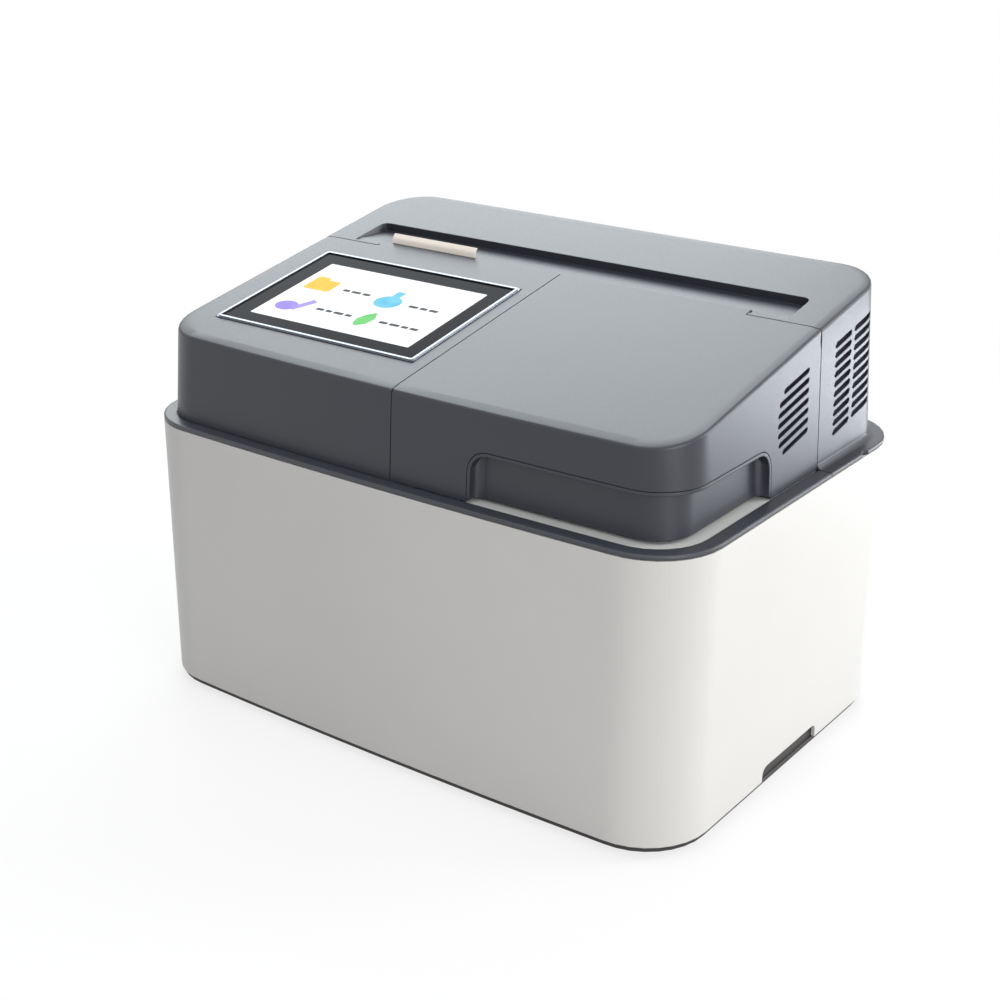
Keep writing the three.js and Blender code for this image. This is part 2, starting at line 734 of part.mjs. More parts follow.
function troughPrism(grow) {
  const v0 = slopeAt(rear_seam_from_front + seam_gap / 2);
  const v1 = slopeAt(body_depth - trough_rear_from_rear) + grow;
  const low_front = -trough_front_depth - grow;
  const low_rear = -trough_rear_depth - grow;
  const shape = [
    [v0 - overrun, low_front], [v0, low_front], [v1, low_rear],
    [v1, overrun + grow], [v0 - overrun, overrun + grow],
  ];
  const u0 = left_x + trough_from_left - grow;
  const u1 = right_x - trough_from_right + grow;
  const run = trough_end_slant;
  const ends = prismY([
    [u0 + run, -far], [u1 - run, -far], [u1 - run, low_rear], [u1, -grow],
    [u1, far], [u0, far], [u0, -grow], [u0 + run, low_rear],
  ], 0, far);
  const corners = prismZ(roundedRect(u0, u1, -far, v1, trough_corner_radius + grow), -far, far);
  return onTop(prismX(shape, u0, u1).intersect(ends).intersect(corners));
}

function rearVents(body) {
  let left = body;
  for (let row = 0; row < rear_vent_rows; row += 1) {
    let y0 = rear_y - rear_vent_from_rear;
    for (const length of rear_vent_lengths) {
      const z0 = deck_top_z + rear_vent_low + row * rear_vent_pitch
        + top_slope * (y0 - rear_y + rear_vent_from_rear);
      left = cut(left,
        sideSlot(right_x - corner_reach, far, y0, y0 + length, z0, rear_vent_height, 1),
        sideSlot(-far, left_x + corner_reach, y0, y0 + length, z0, rear_vent_height, 1));
      y0 += length + rear_vent_rib;
    }
  }
  return left;
}

function makeRearCover() {
  const steps = 4;
  const quarter = Math.PI / 2;
  const rings = [];
  for (let i = 0; i <= steps; i += 1) {
    const angle = (quarter * i) / steps;
    const spread = flange_fillet * (1 - Math.sin(angle));
    const z = deck_top_z - weld + flange_fillet * (1 - Math.cos(angle));
    rings.push(housingRing(-spread, () => z));
  }
  rings.push(housingRing(0, edgeZ), housingRing(chamfer_width, topZ));
  const room = cut(housingInner(), troughPrism(trough_wall));
  let cover = cut(join(loft(rings), collarSolid()), room, troughPrism(0));
  cover = cover.intersect(rear_region);
  const pry_y = rear_y - pry_from_rear;
  const pry_x = right_x + pry_radius - pry_bite;
  for (const x of [-pry_x, pry_x]) cover = cut(cover, rodZ(pry_radius, 0, sky_z, x, pry_y, 24));
  const slot_x = left_x + paper_slot_from_left;
  cover = cut(cover, box(slot_x, slot_x + paper_slot_width, rear_seam_y - overrun,
    rear_seam_y + paper_slot_depth, deck_top_z + housing_wall, sky_z));
  place('rear_cover', rearVents(cover), looks.housing);
}

// Lid hinge: moulded bulkhead, brackets, pins and gooseneck arms
const bulkhead_behind = 6;
const bulkhead_wall = 2.5;
const bulkhead_left_gap = 6;
const bracket_plate = 2.4;

function makeBulkhead() {
  const y0 = hinge_y + bulkhead_behind;
  const foot_width = 9;
  const x0 = centre_seam_x + bulkhead_left_gap;
  const x1 = jog_right_x - bulkhead_left_gap;
  const z0 = deck_surface_z + seat_gap;
  const z1 = topZ(y0) - trough_rear_depth - trough_wall - seat_gap;
  const wall = box(x0, x1, y0, y0 + bulkhead_wall, z0, z1);
  const foot = box(x0, x1, y0, y0 + foot_width, z0, z0 + bulkhead_wall);
  place('hinge_bulkhead', join(wall, foot), looks.dark);
}

function makeHinges() {
  const inner = arm_inner_radius;
  const outer = arm_inner_radius + arm_thickness;
  const degree = Math.PI / 180;
  const neck_end = 256 * degree;
  const neck_start = 240 * degree;
  const crown = 176 * degree;
  const lug_from = 60 * degree;
  const lug_to = 200 * degree;
  const pin_head_radius = 2.6;
  const lug_drop = 26;
  const steps = 8;
  const toYZ = (points) => points.map(([y, z]) => [hinge_y + y, hinge_z + z]);
  hinge_xs.forEach((x, i) => {
    const side = i === 0 ? 'left' : 'right';
    const a0 = x - hinge_arm_width / 2;
    const a1 = x + hinge_arm_width / 2;
    const band = toYZ([
      ...arc(0, 0, outer, crown, neck_end, steps), ...arc(0, 0, inner, neck_end, crown, steps),
    ]);
    const neck = toYZ([
      ...arc(0, 0, outer - weld, neck_start, neck_end, 2),
      ...arc(0, 0, hinge_barrel_radius / 2, neck_end, neck_start, 2),
    ]);
    const pad_v1 = slopeAt(hinge_y - inner - front_y);
    const pad_top = -housing_wall / Math.cos(slope_angle) - seat_gap;
    const pad = topBox(a0, a1, pad_v1 - arm_pad_length, pad_v1, pad_top - arm_pad_thickness, pad_top);
    const barrel = rodX(hinge_barrel_radius, a0, a1, hinge_y, hinge_z, 24);
    const bore = rodX(hinge_pin_radius + hinge_bore_gap, a0 - overrun, a1 + overrun, hinge_y, hinge_z, 24);
    const roof = onTop(box(-far, far, -far, far, pad_top, far));
    const arm = cut(join(prismX(band, a0, a1), prismX(neck, a0, a1), barrel, pad), bore, roof);
    place(`hinge_arm_${side}`, arm, looks.steel);

    const lug_gap = seat_gap;
    const pin_x0 = a0 - lug_gap - hinge_lug;
    const pin_x1 = a1 + lug_gap + hinge_lug;
    const head = hinge_pin_radius / 2;
    const pin = join(
      rodX(hinge_pin_radius, pin_x0 - head, pin_x1 + head, hinge_y, hinge_z, 24),
      rodX(pin_head_radius, pin_x0 - seat_gap - head, pin_x0 - seat_gap, hinge_y, hinge_z, 24),
    );
    place(`hinge_pin_${side}`, pin, looks.chrome);

    const back_y = hinge_y + bulkhead_behind - seat_gap;
    const lug_shape = toYZ([
      ...arc(0, 0, hinge_barrel_radius, lug_from, lug_to, 8),
      [bulkhead_behind - seat_gap - bracket_plate, -lug_drop], [bulkhead_behind - seat_gap, -lug_drop],
      [bulkhead_behind - seat_gap, hinge_barrel_radius * Math.sin(lug_from) - weld],
    ]);
    const lugs = [[pin_x0, pin_x0 + hinge_lug], [pin_x1 - hinge_lug, pin_x1]]
      .map(([u0, u1]) => prismX(lug_shape, u0, u1));
    const plate = box(pin_x0, pin_x1, back_y - bracket_plate, back_y,
      hinge_z - lug_drop, hinge_z - outer / 2);
    const hole_radius = hinge_pin_radius + hinge_bore_gap;
    const hole = rodX(hole_radius, pin_x0 - overrun, pin_x1 + overrun, hinge_y, hinge_z, 24);
    place(`hinge_bracket_${side}`, cut(join(plate, ...lugs), hole), looks.steel);
  });
}

// Stands of the main board on the tray
const board_stand_height = 8;
const board_stand_radius = 3;
const board_from_right = 31;
const board_from_front = 52.3;
const board_width = body_width / 3;
const board_depth = body_depth * 5 / 11;
const board_x0 = right_x - board_from_right - board_width;
const board_y0 = front_y + board_from_front;
const board_margin = 6;
const board_thickness = 1.6;
const board_z = tray_floor_top_z + board_stand_height;

function makeWell() {
  const well_top = deck_surface_z;
  const floor_z = well_top - well_depth;
  const hole = spindle_radius + spindle_clearance;
  const profile = [
    [hole, floor_z], [well_radius, floor_z], [well_radius, well_top - well_flange_thickness],
    [well_radius + well_flange, well_top - well_flange_thickness], [well_radius + well_flange, well_top],
    [well_radius - well_wall, well_top], [well_radius - well_wall, floor_z + well_wall],
    [hole, floor_z + well_wall], [hole, floor_z],
  ];
  place('incubation_well', turned(profile, well_x, well_y, 48), looks.aluminium);

  const motor_top = floor_z - seat_gap;
  const motor_height = 22;
  const motor_radius = 15;
  const motor_plate = 34;
  const motor_plate_thickness = 2;
  const shaft_radius = 2.5;
  const shaft_depth = 5;
  const half_plate = motor_plate / 2;
  const motor = cut(join(
    rodZ(motor_radius, motor_top - motor_height, motor_top, well_x, well_y, 28),
    box(well_x - half_plate, well_x + half_plate, well_y - half_plate, well_y + half_plate,
      motor_top - motor_plate_thickness, motor_top),
  ), rodZ(shaft_radius + seat_gap, motor_top - shaft_depth - seat_gap, sky_z, well_x, well_y, 20));
  place('spindle_motor', motor, looks.steel);

  const table_clearance = 4;
  const table_radius = well_radius - well_wall - table_clearance;
  const table_rise = 2;
  const table_thickness = 2;
  const hub_radius = 11;
  const hub_height = 5;
  const hub_round = 1.5;
  const table_bottom = floor_z + well_wall + table_rise;
  const table_top = table_bottom + table_thickness;
  const key_width = 4;
  const key_height = 1.5;
  const key_reach = 18;
  let table = turned([
    [0, motor_top - shaft_depth], [shaft_radius, motor_top - shaft_depth], [shaft_radius, floor_z],
    [spindle_radius, floor_z], [spindle_radius, table_bottom], [table_radius, table_bottom],
    [table_radius, table_top], [hub_radius, table_top], [hub_radius, table_top + hub_height - hub_round],
    [hub_radius - hub_round, table_top + hub_height], [0, table_top + hub_height],
  ], well_x, well_y, 30);
  table = join(table,
    box(well_x, well_x + key_reach, well_y - key_width / 2, well_y + key_width / 2,
      table_top - weld, table_top + key_height));
  const peg_count = 3;
  const peg_radius = 2;
  const peg_height = 3;
  const peg_edge = 7;
  const peg_ring = table_radius - peg_edge;
  for (let i = 0; i < peg_count; i += 1) {
    const angle = (2 * Math.PI * i) / peg_count;
    table = join(table, rodZ(peg_radius, table_top - weld, table_top + peg_height,
      well_x + peg_ring * Math.cos(angle), well_y + peg_ring * Math.sin(angle), 12));
  }
  place('turntable', table, looks.dark);

  const heater_inset = 3;
  const heater_outer = well_radius - heater_inset;
  const heater_inner = 27;
  const heater_thickness = 2;
  const heater_top = floor_z - seat_gap;
  place('heater_ring', turned([
    [heater_inner, heater_top - heater_thickness], [heater_outer, heater_top - heater_thickness],
    [heater_outer, heater_top], [heater_inner, heater_top], [heater_inner, heater_top - heater_thickness],
  ], well_x, well_y, 30), looks.amber);

  const optics_gap = 6;
  const optics_wall_gap = 6;
  const optics_width = 34;
  const optics_height = 26;
  const lens_radius = 4.5;
  const optics_x = well_x + well_radius + optics_gap;
  const optics_x1 = right_x - sleeve_wall - optics_wall_gap;
  const lens_z = floor_z + well_depth / 4;
  const optics_top = deck_plate_bottom_z - seat_gap;
  place('optical_unit', join(
    box(optics_x, optics_x1, well_y - optics_width / 2, well_y + optics_width / 2,
      optics_top - optics_height, optics_top),
    rodX(lens_radius, well_x + well_radius + seat_gap, optics_x + weld, well_y, lens_z, 20),
  ), looks.black);
}

// Lid latch: a hook on the lid, and under the deck a bolt that slides over its barb, drawn unlocked
function makeLatch() {
  const hook_width = 6;
  const stem = 3;
  const barb = 2.5;
  const barb_height = 3;
  const hook_reach = 11.5;
  const ledge_z = deck_plate_bottom_z - hook_reach + barb_height;
  const hook_foot_z = ledge_z - barb_height;
  const pad_low = 16;
  const pad_high = 36;
  const pad_depth = 2.5;
  const pad_y = housing_front_y + housing_wall + 2 * seat_gap + front_draft * pad_high;
  const pad_low_z = deck_top_z + pad_low;
  const pad_high_z = deck_top_z + pad_high;
  const stem_y = latch_y;
  place('latch_hook', prismX([
    [pad_y, pad_low_z], [pad_y + pad_depth, pad_low_z], [stem_y, pad_low_z - pad_depth],
    [stem_y, hook_foot_z], [stem_y + stem, hook_foot_z], [stem_y + stem + barb, ledge_z - barb_height / 2],
    [stem_y + stem + barb, ledge_z], [stem_y + stem, ledge_z], [stem_y + stem, pad_low_z],
    [pad_y + pad_depth, pad_low_z + 3 * pad_depth], [pad_y + pad_depth, pad_high_z], [pad_y, pad_high_z],
  ], latch_x - hook_width / 2, latch_x + hook_width / 2), looks.steel);

  const bolt_height = 3;
  const bolt_depth = 6;
  const bolt_length = 12;
  const bolt_clearance = 1;
  const rod_radius = 1.4;
  const rod_length = 26;
  const bolt_x1 = latch_x - hook_width / 2 - bolt_clearance;
  const bolt_x0 = bolt_x1 - bolt_length;
  const bolt_y0 = stem_y + stem + seat_gap;
  const bolt_z0 = ledge_z + seat_gap;
  const rod_y = bolt_y0 + bolt_depth / 2;
  const rod_z = bolt_z0 + bolt_height / 2;
  place('latch_bolt', join(
    box(bolt_x0, bolt_x1, bolt_y0, bolt_y0 + bolt_depth, bolt_z0, bolt_z0 + bolt_height),
    rodX(rod_radius, bolt_x0 - rod_length, bolt_x0 + weld, rod_y, rod_z, 16),
  ), looks.steel);

  const solenoid_length = 30;
  const solenoid_width = 14;
  const solenoid_gap = 3;
  const solenoid_x1 = bolt_x0 - solenoid_gap;
  const solenoid_z1 = deck_plate_bottom_z - seat_gap;
  const solenoid_z0 = rod_z - (solenoid_z1 - rod_z);
  place('latch_solenoid', cut(
    box(solenoid_x1 - solenoid_length, solenoid_x1, rod_y - solenoid_width / 2, rod_y + solenoid_width / 2,
      solenoid_z0, solenoid_z1),
    rodX(rod_radius + seat_gap, bolt_x0 - rod_length - seat_gap, far, rod_y, rod_z, 16),
  ), looks.black);
}

// Thermal printer under the paper slot
const paper_width = 57;
const paper_thickness = 0.25;
const paper_gap = 0.3;
const platen_radius = 5.6;
const platen_shaft_radius = 1.5;
const platen_below_top = 15;
const gear_module = 0.8;
const platen_teeth = 22;
const pinion_teeth = 11;
const gear_width = 3;
const gear_backlash = 0.35;
const gear_root_share = 1.25;
const tooth_foot = 0.3;
const tooth_crest = 0.12;
const printer_plate = 1.5;
const printer_side_gap = 2.5;
const roll_radius = 17;
const roll_behind = 22;
const roll_below = 27;
const spindle_rod_radius = 3;

const paper_x = left_x + paper_slot_from_left + paper_slot_width / 2;
const paper_y = rear_seam_y + half_gap;
const platen_y = paper_y + paper_thickness / 2 + paper_gap + platen_radius;
const platen_z = topZ(platen_y) - platen_below_top;
const pinion_pitch = (gear_module * pinion_teeth) / 2;
const gear_pitch = (gear_module * platen_teeth) / 2;
const mesh_angle = -Math.PI / 7;
const pinion_y = platen_y + (gear_pitch + pinion_pitch) * Math.cos(mesh_angle);
const pinion_z = platen_z + (gear_pitch + pinion_pitch) * Math.sin(mesh_angle);
const roll_y = platen_y + roll_behind;
const roll_z = platen_z - roll_below;

// Outline of a spur gear with straight-flanked teeth
function gearOutline(teeth, phase, cy, cz) {
  const pitch_radius = (gear_module * teeth) / 2;
  const tip = pitch_radius + gear_module - gear_backlash / 2;
  const root = pitch_radius - gear_root_share * gear_module;
  const step = (2 * Math.PI) / teeth;
  const tooth_shares = [[-tooth_foot, root], [-tooth_crest, tip], [tooth_crest, tip], [tooth_foot, root]];
  const points = [];
  for (let i = 0; i < teeth; i += 1) {
    for (const [share, radius] of tooth_shares) {
      const angle = phase + (i + share) * step;
      points.push([cy + radius * Math.cos(angle), cz + radius * Math.sin(angle)]);
    }
  }
  return points;
}

function makePrinter() {
  const half = paper_width / 2 + printer_side_gap;
  const in_x0 = paper_x - half;
  const in_x1 = paper_x + half;
  const gear_room = gear_width + 2 * seat_gap;
  const out_x1 = in_x0 - printer_plate - gear_room;
  const out_x0 = out_x1 - printer_plate;
  const foot_z = deck_surface_z + seat_gap;
  const frame_ahead = 4;
  const front = paper_y - frame_ahead;
  const back = roll_y + roll_radius / 2;
  const head_room = 5;
  const side_shape = [
    [front, foot_z], [back, foot_z], [back, roll_z + 2 * spindle_rod_radius],
    [roll_y - roll_radius / 3, roll_z + roll_radius],
    [platen_y + head_room, platen_z + head_room], [front, platen_z + head_room],
  ];
  const gear_side_shape = [
    [front, foot_z], [pinion_y + head_room, foot_z], [pinion_y + head_room, pinion_z + head_room],
    [platen_y + head_room, platen_z + head_room], [front, platen_z + head_room],
  ];
  let frame = join(
    prismX(side_shape, in_x0 - printer_plate, in_x0),
    prismX(side_shape, in_x1, in_x1 + printer_plate),
    prismX(gear_side_shape, out_x0, out_x1),
    box(out_x0, in_x1 + printer_plate, front, back, foot_z, foot_z + printer_plate),
  );
  const motor_shaft = 1;
  frame = cut(frame,
    rodX(platen_shaft_radius + seat_gap, out_x0 - overrun, in_x1 + overrun, platen_y, platen_z, 20),
    rodX(motor_shaft + seat_gap, out_x0 - overrun, out_x1 + gear_room / 2, pinion_y, pinion_z, 16),
    rodX(spindle_rod_radius + seat_gap, in_x0 - overrun, in_x1 + overrun, roll_y, roll_z, 20));
  place('printer_frame', frame, looks.steel);

  const gear_x0 = out_x1 + seat_gap;
  const roller = join(
    rodX(platen_radius, in_x0 + seat_gap * 2, in_x1 - seat_gap * 2, platen_y, platen_z, 28),
    rodX(platen_shaft_radius, gear_x0 + gear_width + seat_gap, in_x1 + printer_plate, platen_y, platen_z, 16),
  );
  place('platen_roller', roller, looks.rubber);
  const gear = join(
    prismX(gearOutline(platen_teeth, 0, platen_y, platen_z), gear_x0, gear_x0 + gear_width),
    rodX(platen_shaft_radius, out_x0 + seat_gap, gear_x0 + weld, platen_y, platen_z, 16),
  );
  place('platen_gear', gear, looks.ivory);
  const half_tooth = Math.PI / pinion_teeth;
  const mesh_phase = mesh_angle + Math.PI + half_tooth + (mesh_angle * platen_teeth) / pinion_teeth;
  const pinion = join(
    prismX(gearOutline(pinion_teeth, mesh_phase, pinion_y, pinion_z), gear_x0, gear_x0 + gear_width),
    rodX(motor_shaft, out_x0 - seat_gap, gear_x0 + weld, pinion_y, pinion_z, 12),
  );
  place('printer_pinion', pinion, looks.brass);
  const motor_radius = 8;
  const motor_length = 18;
  const motor_x1 = out_x0 - seat_gap * 2;
  place('printer_motor', join(
    rodX(motor_radius, motor_x1 - motor_length, motor_x1, pinion_y, pinion_z, 24),
    rodX(motor_radius / 2, motor_x1 - motor_length - 2 * motor_shaft, motor_x1, pinion_y, pinion_z, 16),
  ), looks.steel);

  const head_height = 12;
  const head_depth = 3;
  const head_y1 = paper_y - paper_thickness / 2 - paper_gap;
  const head_chamfer = 1;
  const head_z0 = platen_z - head_height / 2;
  place('print_head', prismX([
    [head_y1 - head_depth, head_z0], [head_y1 - head_chamfer, head_z0], [head_y1, head_z0 + head_chamfer],
    [head_y1, head_z0 + head_height - head_chamfer], [head_y1 - head_chamfer, head_z0 + head_height],
    [head_y1 - head_depth, head_z0 + head_height],
  ], in_x0 + seat_gap, in_x1 - seat_gap), looks.black);

  const paper_x0 = paper_x - paper_width / 2;
  const paper_x1 = paper_x + paper_width / 2;
  const core_gap = 0.6;
  const roll = cut(
    rodX(roll_radius, paper_x0, paper_x1, roll_y, roll_z, 36),
    rodX(spindle_rod_radius + core_gap, paper_x0 - overrun, paper_x1 + overrun, roll_y, roll_z, 20));
  place('paper_roll', roll, looks.paper);
  const rod = rodX(spindle_rod_radius, in_x0 - printer_plate, in_x1 + printer_plate, roll_y, roll_z, 20);
  place('roll_spindle', rod, looks.ivory);

  const straight_height = 1.4;
  const lean_depth = 2.2;
  const lean_height = 3.3;
  const skin_z = topZ(paper_y);
  const bend_z = skin_z + straight_height;
  const half_sheet = paper_thickness / 2;
  const sheet_low = platen_z - platen_radius;
  place('paper_strip', prismX([
    [paper_y - half_sheet, sheet_low], [paper_y + half_sheet, sheet_low], [paper_y + half_sheet, bend_z],
    [paper_y + lean_depth / 3 + half_sheet, bend_z + lean_height / 2],
    [paper_y + lean_depth + half_sheet, bend_z + lean_height],
    [paper_y + lean_depth - half_sheet, bend_z + lean_height + half_sheet],
    [paper_y + lean_depth / 3 - half_sheet, bend_z + lean_height / 2 + half_sheet],
    [paper_y - half_sheet, bend_z + half_sheet],
  ], paper_x0, paper_x1), looks.paper);
}

// Cooling fan on a stand behind the right vents, and the filters inside both vent fields
function makeFan() {
  const fan_size = 40;
  const fan_thickness = 12;
  const fan_bore = 19;
  const fan_low = 14;
  const blade_gap = 0.7;
  const hub_radius = 9;
  const hub_plate = 1.5;
  const filter_thickness = 1.5;
  const filter_gap = 0.3;
  const stand_width = 8;
  const stand_length = 30;
  const blade_count = 7;
  const blade_thickness = 1.2;
  const blade_share = 0.8;
  const blade_pitch = Math.PI / 5;
  const arm_width = 3;
  const filter_inset = housing_wall + filter_gap;
  const filter_y0 = rear_y - rear_vent_from_rear - overrun / 2;
  const filter_length = rear_vent_lengths[0] + rear_vent_rib + rear_vent_lengths[1] + overrun;
  const filter_z0 = deck_top_z + rear_vent_low - overrun / 2;
  const filter_height = 54;
  const band = cut(
    wallBand(filter_inset, filter_z0, filter_z0 + filter_height),
    wallBand(filter_inset + filter_thickness, filter_z0 - overrun, filter_z0 + filter_height + overrun));
  const rows = box(-far, far, filter_y0, filter_y0 + filter_length, filter_z0, filter_z0 + filter_height);
  const right_half = box(0, far, -far, far, 0, sky_z);
  place('vent_filter_right', band.intersect(rows).intersect(right_half), looks.dark);
  place('vent_filter_left', cut(band.intersect(rows), right_half), looks.dark);

  const z0 = deck_surface_z + fan_low;
  const z1 = z0 + fan_size;
  const centre_z = z0 + fan_size / 2;
  const y0 = filter_y0;
  const centre_y = y0 + fan_size / 2;
  const wall_x = right_x - housing_side_inset - side_draft * (z1 - deck_top_z);
  const x1 = wall_x - filter_inset - filter_thickness - 2 * filter_gap;
  const x0 = x1 - fan_thickness;
  let frame = cut(
    box(x0, x1, y0, y0 + fan_size, z0, z1),
    rodX(fan_bore, x0 - overrun, x1 + overrun, centre_y, centre_z, 36));
  const stand_x = x0 + hub_plate;
  const half_stand = stand_length / 2;
  const half_arm = arm_width / 2;
  frame = join(frame,
    box(stand_x, stand_x + stand_width, centre_y - half_stand, centre_y + half_stand,
      deck_surface_z + seat_gap, z0 + weld),
    rodX(hub_radius, x0, stand_x, centre_y, centre_z, 24),
    box(x0, stand_x, centre_y - half_arm, centre_y + half_arm, z0 + weld, z1 - weld),
    box(x0, stand_x, y0 + weld, y0 + fan_size - weld, centre_z - half_arm, centre_z + half_arm));
  place('fan_frame', frame, looks.black);

  const rotor_x0 = x0 + hub_plate + filter_gap;
  const rotor_x1 = x1 - filter_gap * 2;
  let rotor = rodX(hub_radius, rotor_x0, rotor_x1, centre_y, centre_z, 28);
  const blade_length = fan_bore - blade_gap - hub_radius / 2;
  const blade_width = blade_share * (rotor_x1 - rotor_x0);
  for (let i = 0; i < blade_count; i += 1) {
    const geometry = new THREE.BoxGeometry(blade_width, blade_thickness, blade_length)
      .rotateZ(blade_pitch)
      .translate(0, 0, hub_radius / 2 + blade_length / 2 - blade_thickness)
      .rotateX((2 * Math.PI * i) / blade_count)
      .translate((rotor_x0 + rotor_x1) / 2, centre_y, centre_z);
    rotor = join(rotor, solid(geometry));
  }
  place('fan_rotor', rotor, looks.black);
}

// Power supply and main board on the tray
function makeElectronics() {
  const supply_from_left = 43;
  const supply_length = body_width * 0.3;
  const supply_width = body_depth / 3;
  const supply_x0 = left_x + supply_from_left;
  const supply_y0 = -supply_width / 2;
  const supply_height = 38;
  const supply_z0 = tray_floor_top_z + seat_gap;
  const vent_rows = 8;
  const vent_step = 10;
  const vent_slot = 4;
  const vent_depth = 2;
  let supply = box(supply_x0, supply_x0 + supply_length, supply_y0, supply_y0 + supply_width,
    supply_z0, supply_z0 + supply_height);
  for (let i = 0; i < vent_rows; i += 1) {
    const x = supply_x0 + vent_step * (i + 1);
    supply = cut(supply, box(x, x + vent_slot, supply_y0 + vent_step, supply_y0 + supply_width - vent_step,
      supply_z0 + supply_height - vent_depth, sky_z));
  }
  place('power_supply', supply, looks.aluminium);

  const z0 = board_z + seat_gap;
  const top = z0 + board_thickness;
  const chip_shares = [
    [0.2, 0.2, 0.18, 0.18, 3], [0.6, 0.25, 0.3, 0.2, 2],
    [0.25, 0.65, 0.12, 0.22, 9], [0.7, 0.7, 0.2, 0.14, 6],
  ];
  let board = box(board_x0, board_x0 + board_width, board_y0, board_y0 + board_depth, z0, top);
  for (const [u, v, w, d, height_in_boards] of chip_shares) {
    const x = board_x0 + u * board_width;
    const y = board_y0 + v * board_depth;
    board = join(board, box(x, x + w * board_width, y, y + d * board_depth,
      top - weld, top + height_in_boards * board_thickness));
  }
  place('main_board', board, looks.board);
}

// Rear panel inside the sleeve window, with the sockets and the rocker switch
const panel_thickness = 1.6;
const panel_overlap = 6;
const socket_flange = 1;
const panel_y1 = rear_y - sleeve_wall - seat_gap;
const panel_y0 = panel_y1 - panel_thickness;
const panel_middle_z = panel_window_z + panel_window_height / 2;
const inlet_from_window_end = 30;
const inlet_x = inlet_from_window_end - panel_window_width / 2;
const inlet_width = 27;
const inlet_height = 20;
const switch_from_inlet = 32;
const switch_x = inlet_x + switch_from_inlet;
const switch_width = 14;
const switch_height = 22;
const grille_from_window_end = 14;
const grille_x = panel_window_width / 2 - grille_from_window_end;
const ports_x = (switch_x + grille_x) / 2;
const ports_width = 40;
const ports_height = 18;
const rocker_swing = 10;

function panelShape(x, width, height, grow, radius) {
  const u = width / 2 + grow;
  const v = height / 2 + grow;
  return roundedRect(x - u, x + u, panel_middle_z - v, panel_middle_z + v, radius, 2);
}

const panelHole = (x, width, height) => prismY(panelShape(x, width, height, seat_gap, seat_gap * 4), 0, far);

function socketBody(x, width, height, depth, margin) {
  const flange_y = panel_y1 + seat_gap;
  return join(
    prismY(panelShape(x, width, height, 0, seat_gap * 3), flange_y - depth, flange_y + weld),
    prismY(panelShape(x, width, height, margin, margin), flange_y, flange_y + socket_flange),
  );
}

// Box across the panel's mouth, centred on its middle line
function mouthBox(x, width, height, y0) {
  return box(x - width / 2, x + width / 2, y0, far, panel_middle_z - height / 2, panel_middle_z + height / 2);
}

